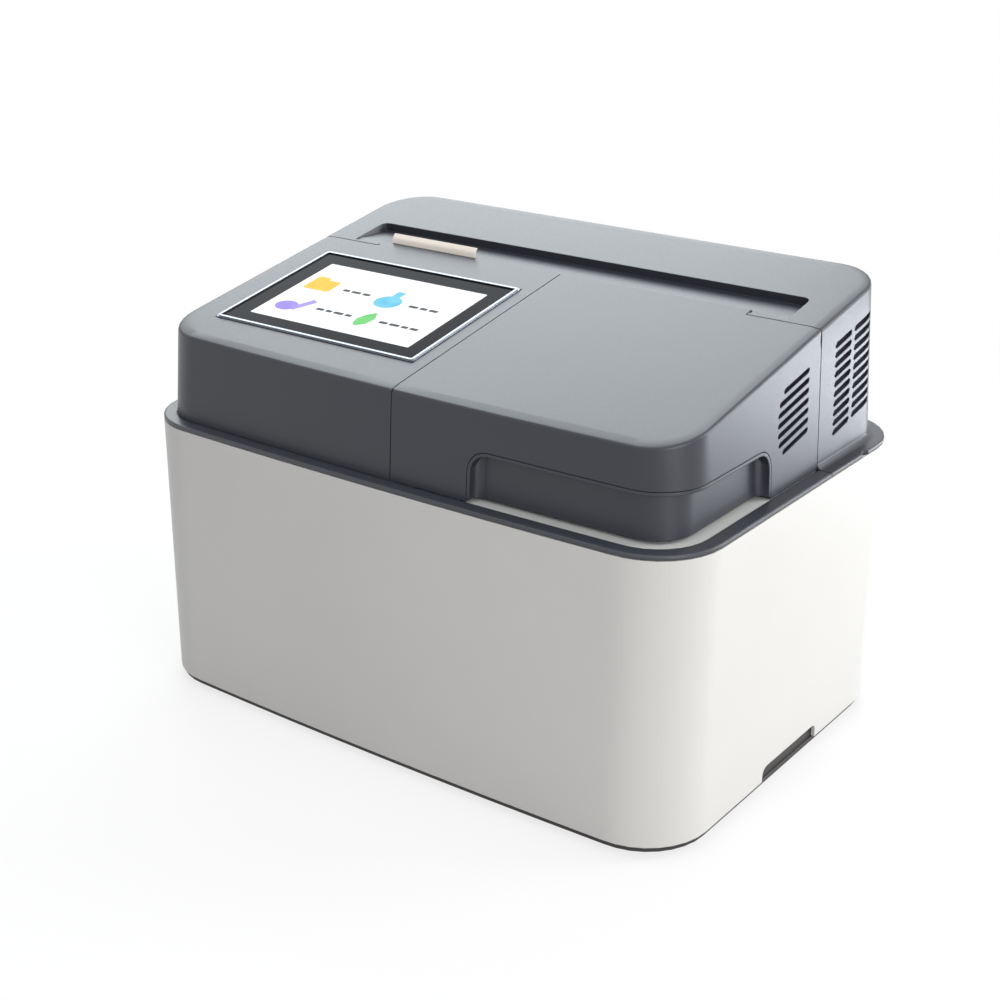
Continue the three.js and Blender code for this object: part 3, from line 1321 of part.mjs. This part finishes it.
function makeRearPanel() {
  let panel = prismY(
    panelShape(0, panel_window_width, panel_window_height, panel_overlap, panel_overlap), panel_y0, panel_y1);
  panel = cut(panel,
    panelHole(inlet_x, inlet_width, inlet_height),
    panelHole(switch_x, switch_width, switch_height),
    panelHole(ports_x, ports_width, ports_height));
  const slot_rows = 6;
  const slot_step = 6;
  const slot_height = 2.6;
  const slot_length = 22;
  for (let i = 0; i < slot_rows; i += 1) {
    const z = panel_middle_z + (i - (slot_rows - 1) / 2) * slot_step;
    panel = cut(panel, prismY(roundedRect(grille_x - slot_length / 2, grille_x + slot_length / 2,
      z - slot_height / 2, z + slot_height / 2, slot_height / 2 - weld, 2), 0, far));
  }
  place('rear_panel', panel, looks.dark);

  const margin = 2;
  const socket_depth = 22;
  const plug_width = 21;
  const plug_height = 13;
  const plug_depth = 15;
  const pin_width = 2;
  const pin_height = 4;
  const pin_spread = 7;
  const mouth_y = panel_y1 + seat_gap + socket_flange;
  const plug_y = mouth_y - plug_depth;
  let inlet = cut(socketBody(inlet_x, inlet_width, inlet_height, socket_depth, margin),
    mouthBox(inlet_x, plug_width, plug_height, plug_y));
  for (const k of [-1, 0, 1]) {
    const x = inlet_x + k * pin_spread;
    const z = panel_middle_z + (k === 0 ? pin_width : -pin_width / 2);
    inlet = join(inlet, box(x - pin_width / 2, x + pin_width / 2, plug_y - weld, mouth_y - plug_depth / 4,
      z - pin_height / 2, z + pin_height / 2));
  }
  place('power_inlet', inlet, looks.black);

  const rocker_width = 9;
  const rocker_height = 17;
  const rocker_depth = 9;
  const rocker_gap = 0.5;
  const shell_depth = 18;
  const shell = cut(socketBody(switch_x, switch_width, switch_height, shell_depth, margin),
    mouthBox(switch_x, rocker_width + 2 * rocker_gap, rocker_height + 2 * rocker_gap,
      mouth_y - rocker_depth - rocker_gap));
  const pivot_radius = 1.5;
  const pivot_y = mouth_y - pivot_radius * 2;
  const bore_reach = (switch_width - margin) / 2;
  const pivot_bore = rodX(pivot_radius + seat_gap, switch_x - bore_reach, switch_x + bore_reach,
    pivot_y, panel_middle_z, 16);
  place('power_switch', cut(shell, pivot_bore), looks.black);
  const crest = 2.2;
  const half_rocker = rocker_width / 2;
  const low_z = panel_middle_z - rocker_height / 2 + rocker_gap;
  const high_z = panel_middle_z + rocker_height / 2 - rocker_gap;
  const level = join(
    prismX([
      [mouth_y - rocker_depth + rocker_gap * 2, panel_middle_z], [pivot_y, low_z],
      [mouth_y - rocker_gap, low_z], [mouth_y - crest / 2, panel_middle_z],
      [mouth_y - rocker_gap, high_z], [pivot_y, high_z],
    ], switch_x - half_rocker, switch_x + half_rocker),
    rodX(pivot_radius, switch_x - half_rocker - rocker_gap * 2, switch_x + half_rocker + rocker_gap * 2,
      pivot_y, panel_middle_z, 16),
  );
  const turn = new THREE.Matrix4().makeTranslation(0, pivot_y, panel_middle_z);
  turn.multiply(new THREE.Matrix4().makeRotationX(-rocker_swing * Math.PI / 180));
  turn.multiply(new THREE.Matrix4().makeTranslation(0, -pivot_y, -panel_middle_z));
  place('power_rocker', level.transform(turn.elements.slice()), looks.black);

  const lan_width = 14;
  const lan_height = 12;
  const usb_width = 13;
  const usb_height = 6;
  const port_depth = 12;
  const ports = cut(socketBody(ports_x, ports_width, ports_height, socket_depth, margin / 2),
    mouthBox(ports_x - ports_width / 4, lan_width, lan_height, mouth_y - port_depth),
    mouthBox(ports_x + ports_width / 4, usb_width, usb_height, mouth_y - port_depth));
  place('data_ports', ports, looks.black);
}

makeFeet();
makeBaseTray();
makeSleeve();
makeDeck();
makeScreenHousing();
makeDisplay();
makeLid();
makeGripScoop();
makeLightShield();
makeRearCover();
makeBulkhead();
makeHinges();
makeWell();
makeLatch();
makePrinter();
makeFan();
makeElectronics();
makeRearPanel();

export default part;
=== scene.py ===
# Benchtop chemistry analyzer: materials, display page, screws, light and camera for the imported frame.
import json
import math

import bmesh
import bpy
from mathutils import Matrix, Vector


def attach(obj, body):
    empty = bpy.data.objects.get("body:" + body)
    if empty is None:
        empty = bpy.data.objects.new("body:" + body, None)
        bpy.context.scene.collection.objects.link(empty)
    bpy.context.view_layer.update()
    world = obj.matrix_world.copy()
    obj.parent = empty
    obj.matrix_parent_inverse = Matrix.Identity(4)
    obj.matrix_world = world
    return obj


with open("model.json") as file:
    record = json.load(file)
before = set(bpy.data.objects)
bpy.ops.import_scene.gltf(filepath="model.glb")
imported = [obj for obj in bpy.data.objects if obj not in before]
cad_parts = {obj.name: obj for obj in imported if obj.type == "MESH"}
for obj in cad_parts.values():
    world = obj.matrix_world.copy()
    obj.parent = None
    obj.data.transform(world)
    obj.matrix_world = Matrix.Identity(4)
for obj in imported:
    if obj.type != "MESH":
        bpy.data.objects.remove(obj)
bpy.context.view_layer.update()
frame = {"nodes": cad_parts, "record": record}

scene = bpy.context.scene

# Sizes shared with the solids, in millimetres
MM = 0.001
FRONT_Y = -114.3        # front of the whole object
TOP_RISE = 0.19         # climb of the slanted top for each millimetre towards the rear
TOP_START_Y = -106.5    # where the slanted top starts
TOP_START_Z = 195.7     # height of its skin there
EDGE_START_Z = 195.1    # height of its outer edge there
GLASS_TOP = 0.3         # the display glass stands this far above the skin
REAR_PANEL_Y = 112.0
TRAY_BOTTOM_Z = 3.0

TOP = (Matrix.Translation((0, FRONT_Y * MM, (TOP_START_Z + TOP_RISE * (FRONT_Y - TOP_START_Y)) * MM))
       @ Matrix.Rotation(math.atan(TOP_RISE), 4, "X"))


# ---------------------------------------------------------------- materials
NOISE_LOW, NOISE_HIGH = 0.3, 0.7    # the part of a noise texture's range that it mostly fills
GRAIN_DEPTH = 0.04 * MM
COAT_ROUGHNESS = 0.1
EDGE_SAMPLES = 6


class Nodes:
    """One material's node tree, with short calls for the nodes used here."""

    def __init__(self, name):
        self.material = bpy.data.materials.new(name)
        self.material.use_nodes = True
        self.tree = self.material.node_tree
        self.shader = self.tree.nodes["Principled BSDF"]
        self.place = self.tree.nodes.new("ShaderNodeTexCoord").outputs["Object"]

    def new(self, kind, **inputs):
        """A node whose inputs are set or linked by name, with _ for a space."""
        node = self.tree.nodes.new("ShaderNode" + kind)
        for key, value in inputs.items():
            socket = node.inputs[key.replace("_", " ")]
            if isinstance(value, bpy.types.NodeSocket):
                self.tree.links.new(value, socket)
            else:
                socket.default_value = value
        return node

    def link(self, output, target):
        self.tree.links.new(output, self.shader.inputs[target])

    def set(self, **values):
        for key, value in values.items():
            self.shader.inputs[key.replace("_", " ")].default_value = value

    def noise(self, scale, detail=2.0, rough=0.5, stretch=None):
        where = self.place
        if stretch:
            where = self.new("Mapping", Vector=where, Scale=stretch).outputs["Vector"]
        return self.new("TexNoise", Vector=where, Scale=scale, Detail=detail,
                        Roughness=rough).outputs["Fac"]

    def ramp(self, fac, low, high, start=NOISE_LOW, stop=NOISE_HIGH):
        """A colour that runs from low to high as fac goes from start to stop."""
        node = self.new("ValToRGB", Fac=fac)
        for element, position, colour in zip(node.color_ramp.elements, (start, stop), (low, high)):
            element.position = position
            element.color = colour
        return node.outputs["Color"]

    def spread(self, fac, low, high):
        """A number from low to high over the range of a noise texture."""
        return self.new("MapRange", Value=fac, From_Min=NOISE_LOW, From_Max=NOISE_HIGH,
                        To_Min=low, To_Max=high).outputs["Result"]

    def bump(self, height, strength, distance, edge):
        """Fine relief, over edges that are rounded by a radius in millimetres."""
        rounded_edge = self.new("Bevel", Radius=edge * MM)
        rounded_edge.samples = EDGE_SAMPLES
        node = self.new("Bump", Height=height, Strength=strength, Distance=distance,
                        Normal=rounded_edge.outputs["Normal"])
        self.link(node.outputs["Normal"], "Normal")


def linear(r, g, b):
    """A screen colour from 0 to 255 as scene-linear values."""
    return tuple(((c / 255 + 0.055) / 1.055) ** 2.4 if c > 10 else c / 255 / 12.92 for c in (r, g, b))


def shade(rgb, factor):
    return tuple(min(1.0, c * factor) for c in rgb) + (1.0,)


def surface(name, rgb, rough, metallic=0.0, spec=0.5, coat=0.0, vary=0.05, cloud=18.0, grain=900.0,
            grain_strength=0.12, rough_vary=0.05, stretch=None, edge=0.25):
    """Soft clouds in the colour, and a fine grain in the gloss and the relief."""
    n = Nodes(name)
    colour = linear(*rgb)
    n.link(n.ramp(n.noise(cloud, 3.0, 0.55), shade(colour, 1 - vary), shade(colour, 1 + vary)),
           "Base Color")
    fine = n.noise(grain, 2.0, 0.6, stretch)
    n.link(n.spread(fine, rough - rough_vary, rough + rough_vary), "Roughness")
    n.set(Metallic=metallic, Specular_IOR_Level=spec, Coat_Weight=coat, Coat_Roughness=COAT_ROUGHNESS)
    n.bump(fine, grain_strength, GRAIN_DEPTH, edge)
    return n.material


# The record's material slots, and for the deck collar a lighter, glossier copy of housing_plastic, which
# is painted light on the same plastic, with a wider rounding
LOOKS = {
    "sleeve_paint": dict(rgb=(211, 209, 205), rough=0.4, spec=0.4, vary=0.02, cloud=9.0,
                         grain=1500.0, grain_strength=0.06, edge=0.5),
    "housing_plastic": dict(rgb=(45, 48, 56), rough=0.38, spec=0.53, vary=0.04, cloud=14.0,
                            grain=1400.0, grain_strength=0.16, edge=0.6),
    # The housing's own plastic, painted lighter and glossier to stand in for the light that falls on the
    # collar
    "collar_lit_plastic": dict(rgb=(56, 59, 67), rough=0.38, spec=0.6, vary=0.03, cloud=14.0,
                           grain=1400.0, grain_strength=0.14, edge=1.8),
    "dark_plastic": dict(rgb=(56, 53, 52), rough=0.5, spec=0.35, grain=1300.0, grain_strength=0.15),
    "deck_plastic": dict(rgb=(216, 217, 214), rough=0.45, spec=0.4, vary=0.03, grain=1300.0,
                         grain_strength=0.1),
    "black_plastic": dict(rgb=(26, 27, 29), rough=0.5, grain=1100.0, grain_strength=0.18),
    "display_glass": dict(rgb=(14, 15, 20), rough=0.16, spec=0.015, vary=0.03, grain=40.0,
                          grain_strength=0.02, rough_vary=0.02),
    "trim_chrome": dict(rgb=(132, 137, 145), rough=0.28, metallic=1.0, vary=0.03, grain=700.0,
                        grain_strength=0.06, stretch=(1.0, 1.0, 12.0)),
    "steel": dict(rgb=(176, 180, 184), rough=0.32, metallic=0.95, grain=500.0, stretch=(0.15, 1.0, 1.0)),
    "aluminium": dict(rgb=(196, 199, 202), rough=0.4, metallic=0.9, grain=650.0, stretch=(1.0, 0.2, 1.0)),
    "foot_rubber": dict(rgb=(32, 33, 35), rough=0.85, grain=800.0, grain_strength=0.3),
    "board": dict(rgb=(26, 84, 54), rough=0.45, vary=0.14, cloud=120.0, grain=260.0, grain_strength=0.3),
    "ivory_plastic": dict(rgb=(232, 228, 216), rough=0.42, vary=0.03),
    "brass": dict(rgb=(196, 160, 86), rough=0.3, metallic=0.95, grain=400.0),
    "heater_film": dict(rgb=(206, 142, 48), rough=0.3, coat=0.4, vary=0.08, cloud=60.0),
    "paper": dict(rgb=(250, 241, 230), rough=0.85, spec=0.3, vary=0.02, cloud=200.0, grain=2500.0,
                  grain_strength=0.2),
    "filter_foam": dict(rgb=(128, 130, 136), rough=0.9, spec=0.2, vary=0.2, cloud=700.0,
                        grain=1800.0, grain_strength=0.5),
}
MATERIALS = {name: surface(name, **look) for name, look in LOOKS.items()}


# ---------------------------------------------------------------- carried-over solids
TOP_EDGE_WIDTH = 1.3
EDGE_LINE_SLACK = 0.1
EDGE_MIN_ANGLE = math.radians(60)
SPLIT_ANGLE = math.radians(35)
WELD_DISTANCE = 0.01
# The trough's edges lie on the top edge's line too, but inside these distances
OUTER_X, OUTER_Y = 140, 90


def corner_key(point):
    return tuple(round(c * 1e6) for c in point)


def on_top_edge(point):
    x, y, z = (c / MM for c in point)
    off_line = abs(z - (EDGE_START_Z + TOP_RISE * (y - TOP_START_Y)))
    return off_line < EDGE_LINE_SLACK and (abs(x) > OUTER_X or abs(y) > OUTER_Y)


def mark_top_edge(mesh):
    """Marks the housing's outer top edge for the bevel, and says how many edges it marked."""
    bm = bmesh.new()
    bm.from_mesh(mesh)
    bmesh.ops.remove_doubles(bm, verts=bm.verts[:], dist=1e-6)
    marked = {frozenset(corner_key(v.co) for v in edge.verts) for edge in bm.edges
              if all(on_top_edge(v.co) for v in edge.verts)
              and len(edge.link_faces) == 2 and edge.calc_face_angle() > EDGE_MIN_ANGLE}
    bm.free()
    weights = mesh.attributes.new("bevel_weight_edge", "FLOAT", "EDGE")
    keys = [corner_key(v.co) for v in mesh.vertices]
    for edge in mesh.edges:
        weights.data[edge.index].value = float(frozenset(keys[i] for i in edge.vertices) in marked)
    return len(marked)


def soften(obj, round_top=False):
    """Even shading on a solid, with its edges kept, through modifiers only."""
    mesh = obj.data
    stored = mesh.attributes.get("custom_normal")
    if stored:
        mesh.attributes.remove(stored)
    mesh.shade_smooth()
    joined = obj.modifiers.new("joined", "WELD")
    joined.merge_threshold = WELD_DISTANCE * MM
    if round_top and mark_top_edge(mesh):
        bevel = obj.modifiers.new("top_edge", "BEVEL")
        bevel.width = TOP_EDGE_WIDTH * MM
        bevel.segments = 3
        bevel.limit_method = "WEIGHT"
        bevel.use_clamp_overlap = False
    split = obj.modifiers.new("split", "EDGE_SPLIT")
    split.use_edge_sharp = False
    split.split_angle = SPLIT_ANGLE
    even = obj.modifiers.new("even", "WEIGHTED_NORMAL")
    even.keep_sharp = False
    even.weight = 50


slots = {s["node"]: s["material_slot"] for s in frame["record"]["subparts"]}
for name, obj in frame["nodes"].items():
    obj.data.materials.clear()
    # The deck collar takes the copy of the housing plastic with painted light
    obj.data.materials.append(MATERIALS["collar_lit_plastic" if name == "deck_collar" else slots[name]])
    soften(obj, round_top=name in ("lid", "screen_housing", "rear_cover"))


# ---------------------------------------------------------------- new pieces
def add_piece(name, bm, material):
    """A new piece of the chassis from a finished bmesh."""
    mesh = bpy.data.meshes.new(name)
    bm.to_mesh(mesh)
    bm.free()
    obj = bpy.data.objects.new(name, mesh)
    scene.collection.objects.link(obj)
    obj.data.materials.append(material)
    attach(obj, "chassis")
    return obj


def top_plate(name, outline, low, high, material):
    """A flat plate on the slanted top, from an outline and two heights in millimetres."""
    bm = bmesh.new()
    face = bm.faces.new([bm.verts.new((u * MM, v * MM, low * MM)) for u, v in outline])
    face.normal_update()
    made = bmesh.ops.extrude_face_region(bm, geom=[face])
    raised = [g for g in made["geom"] if isinstance(g, bmesh.types.BMVert)]
    bmesh.ops.translate(bm, verts=raised, vec=(0, 0, (high - low) * MM))
    bmesh.ops.recalc_face_normals(bm, faces=bm.faces[:])
    bm.transform(TOP)
    return add_piece(name, bm, material)


def rounded(u0, u1, v0, v1, radius, steps=4):
    """A rectangle's outline with rounded corners."""
    points = []
    for cu, cv, start in ((u1 - radius, v0 + radius, -90), (u1 - radius, v1 - radius, 0),
                          (u0 + radius, v1 - radius, 90), (u0 + radius, v0 + radius, 180)):
        for i in range(steps + 1):
            a = math.radians(start + 90 * i / steps)
            points.append((cu + radius * math.cos(a), cv + radius * math.sin(a)))
    return points


def oval(cu, cv, radius, steps, squash):
    angles = [2 * math.pi * i / steps for i in range(steps)]
    return [(cu + radius * math.cos(a), cv + squash * radius * math.sin(a)) for a in angles]


# ---------------------------------------------------------------- display page
PAGE_LOW = GLASS_TOP + 0.01
PAGE_HIGH = GLASS_TOP + 0.05
INK_THICK = 0.03
WORD_GAP = 1.3
WORD_HEIGHT = 2.3


def lit(name, low, high, emitted, glow, tint_scale, start, stop):
    """A patch of the display that is part painted and part shining."""
    n = Nodes(name)
    n.link(n.ramp(n.noise(tint_scale, 1.0), low, high, start, stop), "Base Color")
    n.set(Roughness=0.5, Specular_IOR_Level=0.1, Emission_Color=emitted + (1.0,), Emission_Strength=glow)
    return n.material


def plain_light(name, *rgb):
    rgb = linear(*rgb)
    return lit(name, shade(rgb, 0.34), shade(rgb, 0.36), rgb, 0.68, 30.0, NOISE_LOW, NOISE_HIGH)


def tinted_light(name, low, high):
    """A lit patch whose colour runs softly from one tint to another."""
    low, high = linear(*low), linear(*high)
    return lit(name, shade(low, 0.36), shade(high, 0.36), low, 0.66, 90.0, 0.35, 0.65)


page_white = plain_light("page_white", 250, 251, 252)
icon_yellow = tinted_light("icon_yellow", (245, 190, 40), (250, 214, 92))
icon_purple = tinted_light("icon_purple", (150, 130, 220), (186, 170, 240))
icon_cyan = tinted_light("icon_cyan", (70, 180, 215), (150, 222, 238))
icon_green = tinted_light("icon_green", (70, 185, 90), (140, 220, 130))
label_grey = plain_light("label_grey", 52, 56, 62)


def ink(name, outline, material, lift=0.0):
    """A thin patch on the page; lift puts it on top of another patch."""
    top_plate(name, outline, PAGE_HIGH + lift, PAGE_HIGH + lift + INK_THICK, material)


def label(name, u, v, widths):
    """A line of short dashes where words would stand."""
    for i, width in enumerate(widths):
        ink(f"{name}_{i}", rounded(u, u + width, v, v + WORD_HEIGHT, WORD_HEIGHT * 0.35, 2), label_grey)
        u += width + WORD_GAP


top_plate("display_page", rounded(-122.5, -17.5, 48.0, 113.5, 0.8), PAGE_LOW, PAGE_HIGH, page_white)

# Folder, brush, flask and leaf, in plain shapes of their own
ink("icon_folder_back", rounded(-117.5, -100.0, 83.0, 95.5, 1.8), icon_yellow)
ink("icon_folder_tab", rounded(-117.5, -109.0, 93.0, 98.0, 1.5), icon_yellow, INK_THICK)
ink("icon_brush_head", oval(-109.5, 62.0, 7.0, 30, 0.75), icon_purple)
ink("icon_brush_stem", [(-106.5, 60.0), (-102.5, 58.5), (-96.0, 70.5), (-99.5, 73.0)], icon_purple,
    INK_THICK)
ink("icon_flask_body", oval(-61.0, 86.0, 8.0, 32, 0.85), icon_cyan)
ink("icon_flask_neck", rounded(-63.5, -58.5, 90.5, 98.5, 1.0), icon_cyan, INK_THICK)
ink("icon_leaf", [(-62.5, 59.5), (-59.5, 56.8), (-55.0, 60.5), (-54.0, 67.0), (-57.5, 73.5),
                  (-61.5, 69.5), (-63.5, 64.5)], icon_green)

label("label_folder", -93.5, 87.6, (4.6, 6.2, 5.0))
label("label_brush", -91.5, 63.8, (5.2, 4.0, 6.4, 4.2))
label("label_flask", -47.5, 85.2, (6.0, 4.6, 5.4))
label("label_leaf", -50.0, 64.2, (5.4, 6.4, 4.2, 5.0))


# ---------------------------------------------------------------- screws
SCREW_SIDES = 24
# Each ring's share of the head's radius and height, and whether it is the hexagonal socket's
SCREW_RINGS = ((1.0, 0.0, False), (1.0, 0.5, False), (0.93, 0.82, False), (0.75, 1.0, False),
               (0.42, 1.0, True), (0.42, 0.4, True))


def screw(name, place, direction, radius, height):
    """A pan-head screw with a hexagonal socket, its head standing on a surface."""
    bm = bmesh.new()
    rings = []
    for size, level, hexed in SCREW_RINGS:
        ring = []
        for i in range(SCREW_SIDES):
            a = 2 * math.pi * i / SCREW_SIDES
            reach = size * radius
            if hexed:
                reach /= math.cos((a + math.pi / 6) % (math.pi / 3) - math.pi / 6)
            ring.append(bm.verts.new((reach * math.cos(a) * MM, reach * math.sin(a) * MM,
                                      level * height * MM)))
        rings.append(ring)
    for low, high in zip(rings, rings[1:]):
        for i in range(SCREW_SIDES):
            j = (i + 1) % SCREW_SIDES
            bm.faces.new((low[i], low[j], high[j], high[i]))
    bm.faces.new(rings[0][::-1])
    bm.faces.new(rings[-1])
    turn = Vector(direction).to_track_quat("Z", "Y").to_matrix().to_4x4()
    bm.transform(Matrix.Translation(Vector(place) * MM) @ turn)
    obj = add_piece(name, bm, MATERIALS["steel"])
    soften(obj)


for side, sign in (("right", 1), ("left", -1)):
    for level, z in (("low", 35.4), ("high", 90.6)):
        screw(f"panel_screw_{level}_{side}", (sign * 85.2, REAR_PANEL_Y, z), (0, 1, 0), 1.8, 0.9)
    for end, y in (("front", -70), ("rear", 70)):
        screw(f"tray_screw_{end}_{side}", (sign * 117.576, y, TRAY_BOTTOM_Z), (0, 0, -1), 2.6, 1.2)


# ---------------------------------------------------------------- floor and background
FLOOR_SIZE = 6.0
FLOOR_DROP = 0.0002     # keeps the floor just under the feet
SHADOW_NEAR, SHADOW_FAR = 0.22, 0.8    # the shadow's strength falls to nothing between these distances
SHADOW_STRENGTH = 0.24
AMBIENT = 0.52


def seen_directly(tree):
    """One for camera, glossy and transmission rays, else zero."""
    path = tree.nodes.new("ShaderNodeLightPath")
    total = path.outputs["Is Camera Ray"]
    for name in ("Is Glossy Ray", "Is Transmission Ray"):
        either = tree.nodes.new("ShaderNodeMath")
        either.operation = "MAXIMUM"
        tree.links.new(total, either.inputs[0])
        tree.links.new(path.outputs[name], either.inputs[1])
        total = either.outputs[0]
    return total


def mixed(tree, fac, first, second):
    """The first shader where fac is 0, the second where it is 1."""
    node = tree.nodes.new("ShaderNodeMixShader")
    tree.links.new(fac, node.inputs["Fac"])
    tree.links.new(first, node.inputs[1])
    tree.links.new(second, node.inputs[2])
    return node.outputs[0]


def pale_floor():
    """White to the eye, with the object's shadow near it, and a pale grey for the light it throws back."""
    n = Nodes("pale_floor")
    colour = n.ramp(n.noise(3.0), (0.86, 0.86, 0.86, 1), (0.88, 0.88, 0.88, 1))
    painted = n.new("BsdfDiffuse", Color=colour).outputs[0]
    glow = n.new("Emission", Strength=1.0).outputs[0]
    length = n.new("VectorMath", Vector=n.place)
    length.operation = "LENGTH"
    fade = n.new("MapRange", Value=length.outputs["Value"], From_Min=SHADOW_NEAR, From_Max=SHADOW_FAR,
                 To_Min=SHADOW_STRENGTH, To_Max=0.0)
    shown = mixed(n.tree, fade.outputs["Result"], glow, painted)
    thrown = n.new("BsdfDiffuse", Color=(0.45, 0.45, 0.46, 1)).outputs[0]
    picked = mixed(n.tree, seen_directly(n.tree), thrown, shown)
    n.tree.links.new(picked, n.tree.nodes["Material Output"].inputs["Surface"])
    return n.material


bpy.ops.mesh.primitive_plane_add(size=FLOOR_SIZE, location=(0, 0, -FLOOR_DROP))
floor = bpy.context.object
floor.name = "floor"
floor.data.materials.append(pale_floor())


def world_light(tree, colour, strength):
    node = tree.nodes.new("ShaderNodeBackground")
    node.inputs["Color"].default_value = colour
    node.inputs["Strength"].default_value = strength
    return node.outputs[0]


world = bpy.data.worlds.new("plain")
scene.world = world
world.use_nodes = True
tree = world.node_tree
tree.nodes.clear()
out = tree.nodes.new("ShaderNodeOutputWorld")
ambient = world_light(tree, (0.97, 0.98, 1.0, 1), AMBIENT)
white = world_light(tree, (1, 1, 1, 1), 1.0)
tree.links.new(mixed(tree, seen_directly(tree), ambient, white), out.inputs["Surface"])


# ---------------------------------------------------------------- lamps
def lamp(name, place, target, size, energy, color=(1, 1, 1)):
    """A soft box of a width and height in metres, turned towards a target."""
    data = bpy.data.lights.new(name, "AREA")
    data.shape = "RECTANGLE"
    data.size, data.size_y = size
    data.energy = energy
    data.color = color
    obj = bpy.data.objects.new(name, data)
    obj.location = place
    obj.rotation_mode = "QUATERNION"
    obj.rotation_quaternion = (Vector(target) - Vector(place)).to_track_quat("-Z", "Y")
    scene.collection.objects.link(obj)


BODY_TOP = (0, 0, 0.2)
lamp("rear_top_box", (-0.75, 0.85, 1.05), BODY_TOP, (1.1, 1.1), 13.5, (0.9, 0.97, 1.0))
# Low beside the object: its reflection gives the housing's right wall its sheen
lamp("side_card", (0.4, 0.52, 0.065), (0.15, 0.05, 0.17), (0.3, 0.12), 1.05, (0.88, 0.94, 1.0))
lamp("top_box", (0.0, -0.1, 1.5), BODY_TOP, (0.9, 0.9), 6)
lamp("rear_side_box", (0.95, 0.75, 0.7), BODY_TOP, (0.5, 0.5), 7)
lamp("right_front_box", (1.3, -0.6, 0.5), (0, 0, 0.14), (0.8, 0.8), 10)


# ---------------------------------------------------------------- camera, fitted to the photo's view
camera_data = bpy.data.cameras.new("camera")
camera = bpy.data.objects.new("camera", camera_data)
scene.collection.objects.link(camera)
place = Vector((0.48885, -0.68291, 0.44597))
right = Vector((0.8056356, 0.59238833, 0.00522992))
up = Vector((-0.2258713, 0.29899493, 0.92713763))
ahead = Vector((-0.54766179, 0.74811637, -0.37468448))
camera.matrix_world = Matrix.Translation(place) @ Matrix((right, up, -ahead)).transposed().to_4x4()
camera_data.sensor_width = 36
camera_data.lens = 61.766
camera_data.dof.use_dof = False
scene.camera = camera
scene.view_settings.view_transform = "Standard"
